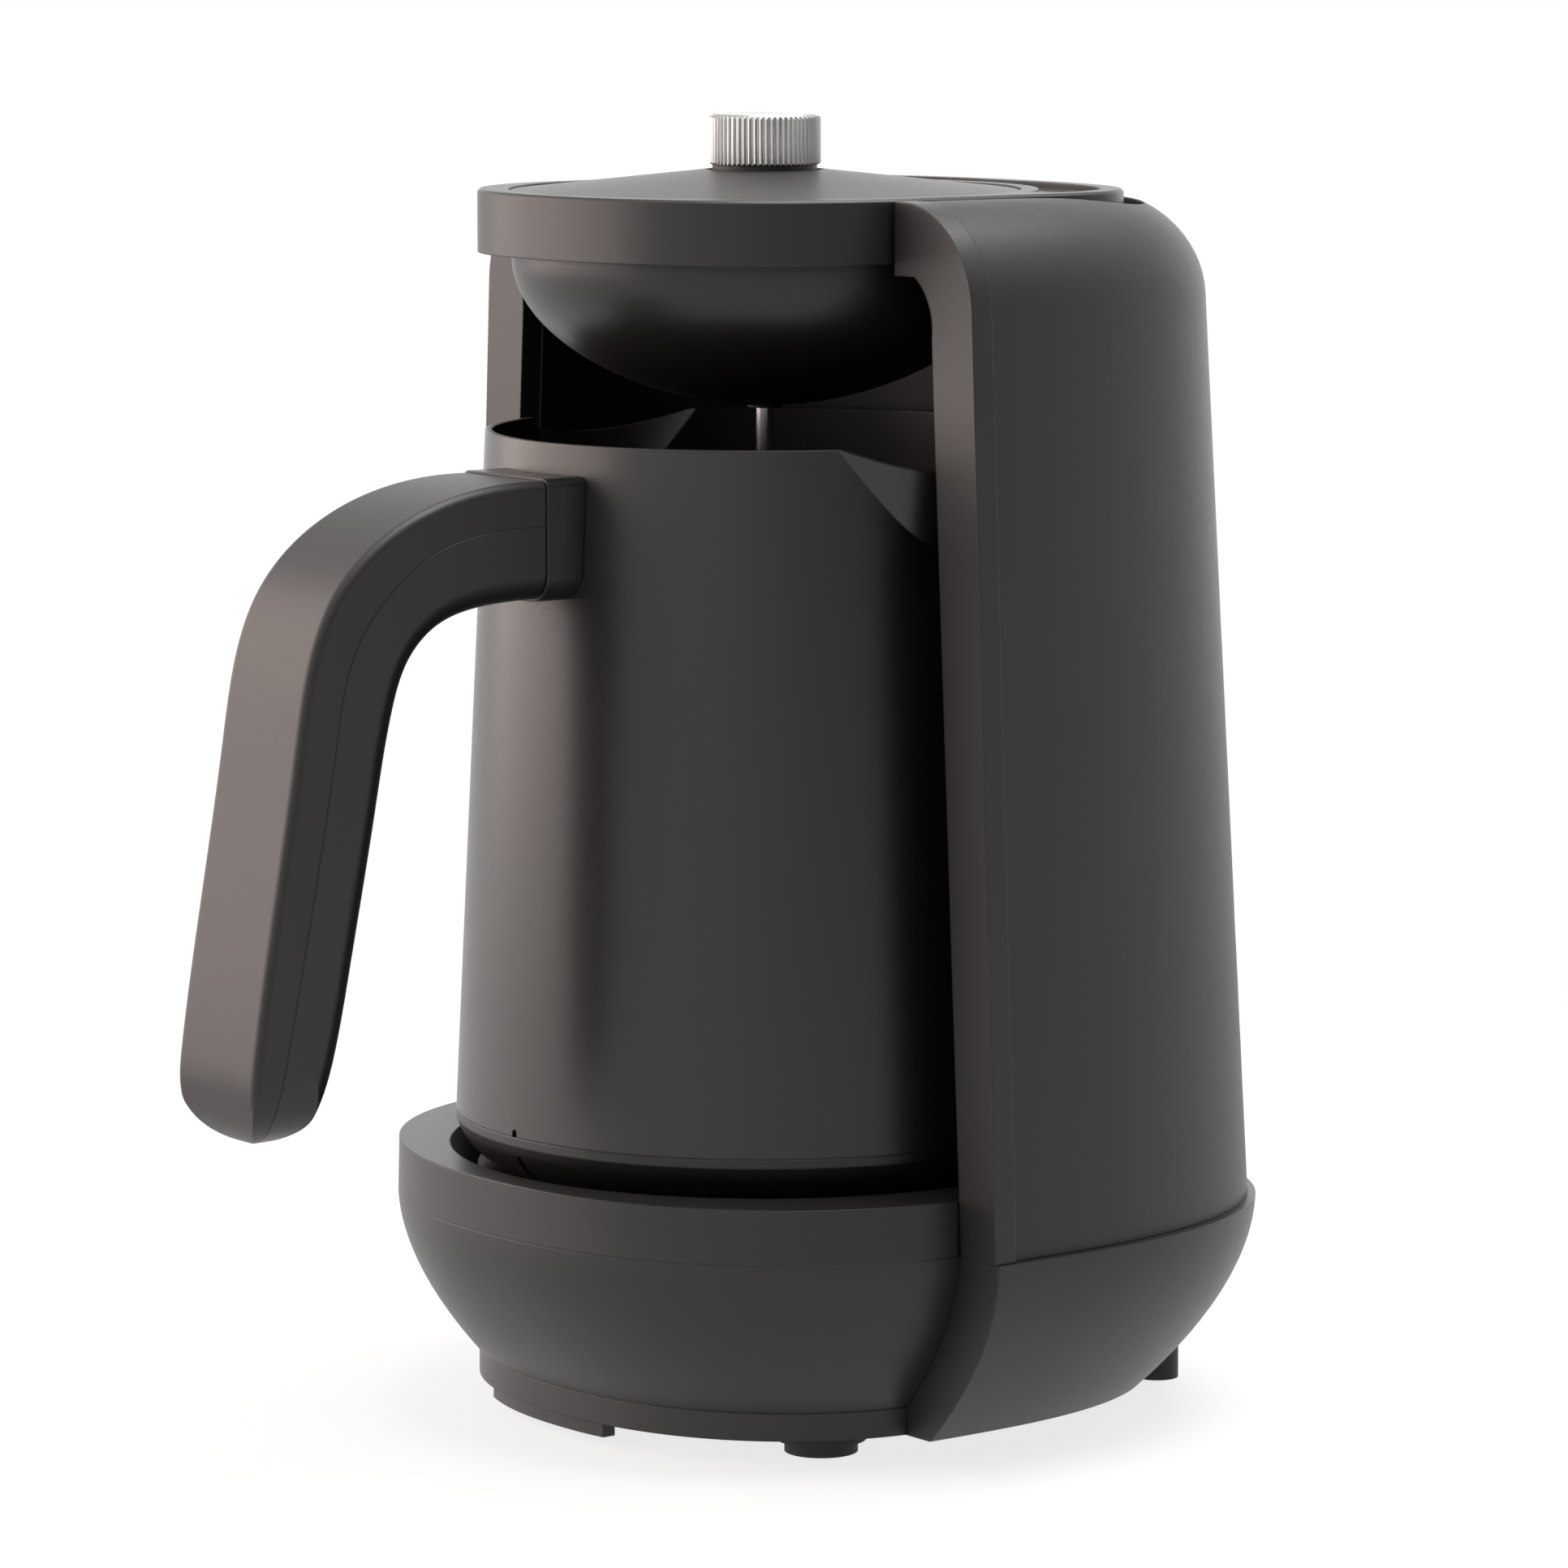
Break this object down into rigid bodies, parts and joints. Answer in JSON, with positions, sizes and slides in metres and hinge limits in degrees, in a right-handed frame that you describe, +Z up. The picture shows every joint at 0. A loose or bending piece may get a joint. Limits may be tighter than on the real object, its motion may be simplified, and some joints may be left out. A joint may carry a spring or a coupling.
{
  "type": "electric turkish coffee maker",
  "caption": "Dark electric Turkish coffee maker: lift-off pot with two spouts and a curved handle in the bay of a rounded tower, under a tilting head with a silver knob.",
  "frame": {"origin": "on the table, under the middle of the whole machine's bounding box", "axes": "+Z up, the pot's handle points to -Y, the tower is on the +Y side, +X is to the right seen from the handle"},
  "size_m": [0.1576, 0.204, 0.2328],
  "materials": {
    "housing": "satin",
    "inner_black": "matte",
    "pot_coat": "satin",
    "pot_band": "satin",
    "handle_plastic": "satin",
    "knob_metal": "brushed",
    "steel": "satin",
    "heater_metal": "cast",
    "foot_rubber": "matte",
    "contact_brass": "satin",
    "circuit_board": "gloss",
    "board_parts": "satin"
  },
  "bodies": {
    "base": {"base_front_bowl": "housing", "base_plinth_skirt": "housing", "base_rear_shell": "housing", "tower_front_frame": "housing", "tower_rear_cover": "housing", "base_deck_ring": "housing", "base_bottom_plate": "inner_black", "tower_bay_wall": "inner_black", "tower_top_frame": "inner_black", "power_board_standoffs": "inner_black", "cord_gland": "inner_black", "dock_post": "inner_black", "base_screws": "steel", "tower_screws": "steel", "hinge_pin": "steel", "front_feet": "foot_rubber", "rear_feet": "foot_rubber", "dock_contacts": "contact_brass", "power_board": "circuit_board", "power_board_parts": "board_parts"},
    "head": {"head_ring": "housing", "head_underplate": "inner_black", "head_dish": "housing", "head_lid": "housing", "head_screws": "steel", "head_board": "circuit_board", "knob_collar": "inner_black", "rotary_encoder": "inner_black", "knob_return_spring": "steel", "probe_rod": "steel", "probe_rod_holder": "inner_black", "probe_rod_seal": "foot_rubber"},
    "knob_plunger": {"knob_plunger": "inner_black"},
    "selector_knob": {"selector_knob": "knob_metal", "knob_sleeve": "inner_black"},
    "pot": {"pot_body": "pot_coat", "pot_base_band": "pot_band", "pot_heater_plate": "heater_metal", "pot_thermostat": "inner_black", "pot_connector": "inner_black", "handle_arm_collar": "handle_plastic", "handle_outer_shell": "handle_plastic", "handle_inner_shell": "handle_plastic", "handle_bracket": "steel", "handle_screws": "steel"}
  },
  "joints": [
    {"name": "head_tilt", "type": "hinge", "parent": "base", "child": "head", "pos_m": [0, 0.06605, 0.2146], "axis": [-1, 0, 0], "range_deg": [0, 50]},
    {"name": "knob_press", "type": "slide", "parent": "head", "child": "knob_plunger", "axis": [0, 0, -1], "range_m": [0, 0.0009], "stiffness_N_per_m": 1500, "springref_m": -0.0005, "deforming": ["knob_return_spring"]},
    {"name": "knob_turn", "type": "hinge", "parent": "knob_plunger", "child": "selector_knob", "pos_m": [0, 0.01605, 0.2246], "axis": [0, 0, 1], "range_deg": [-135, 135]},
    {"name": "pot_lift", "type": "slide", "parent": "base", "child": "pot", "axis": [0, 0, 1], "range_m": [0, 0.025]}
  ]
}
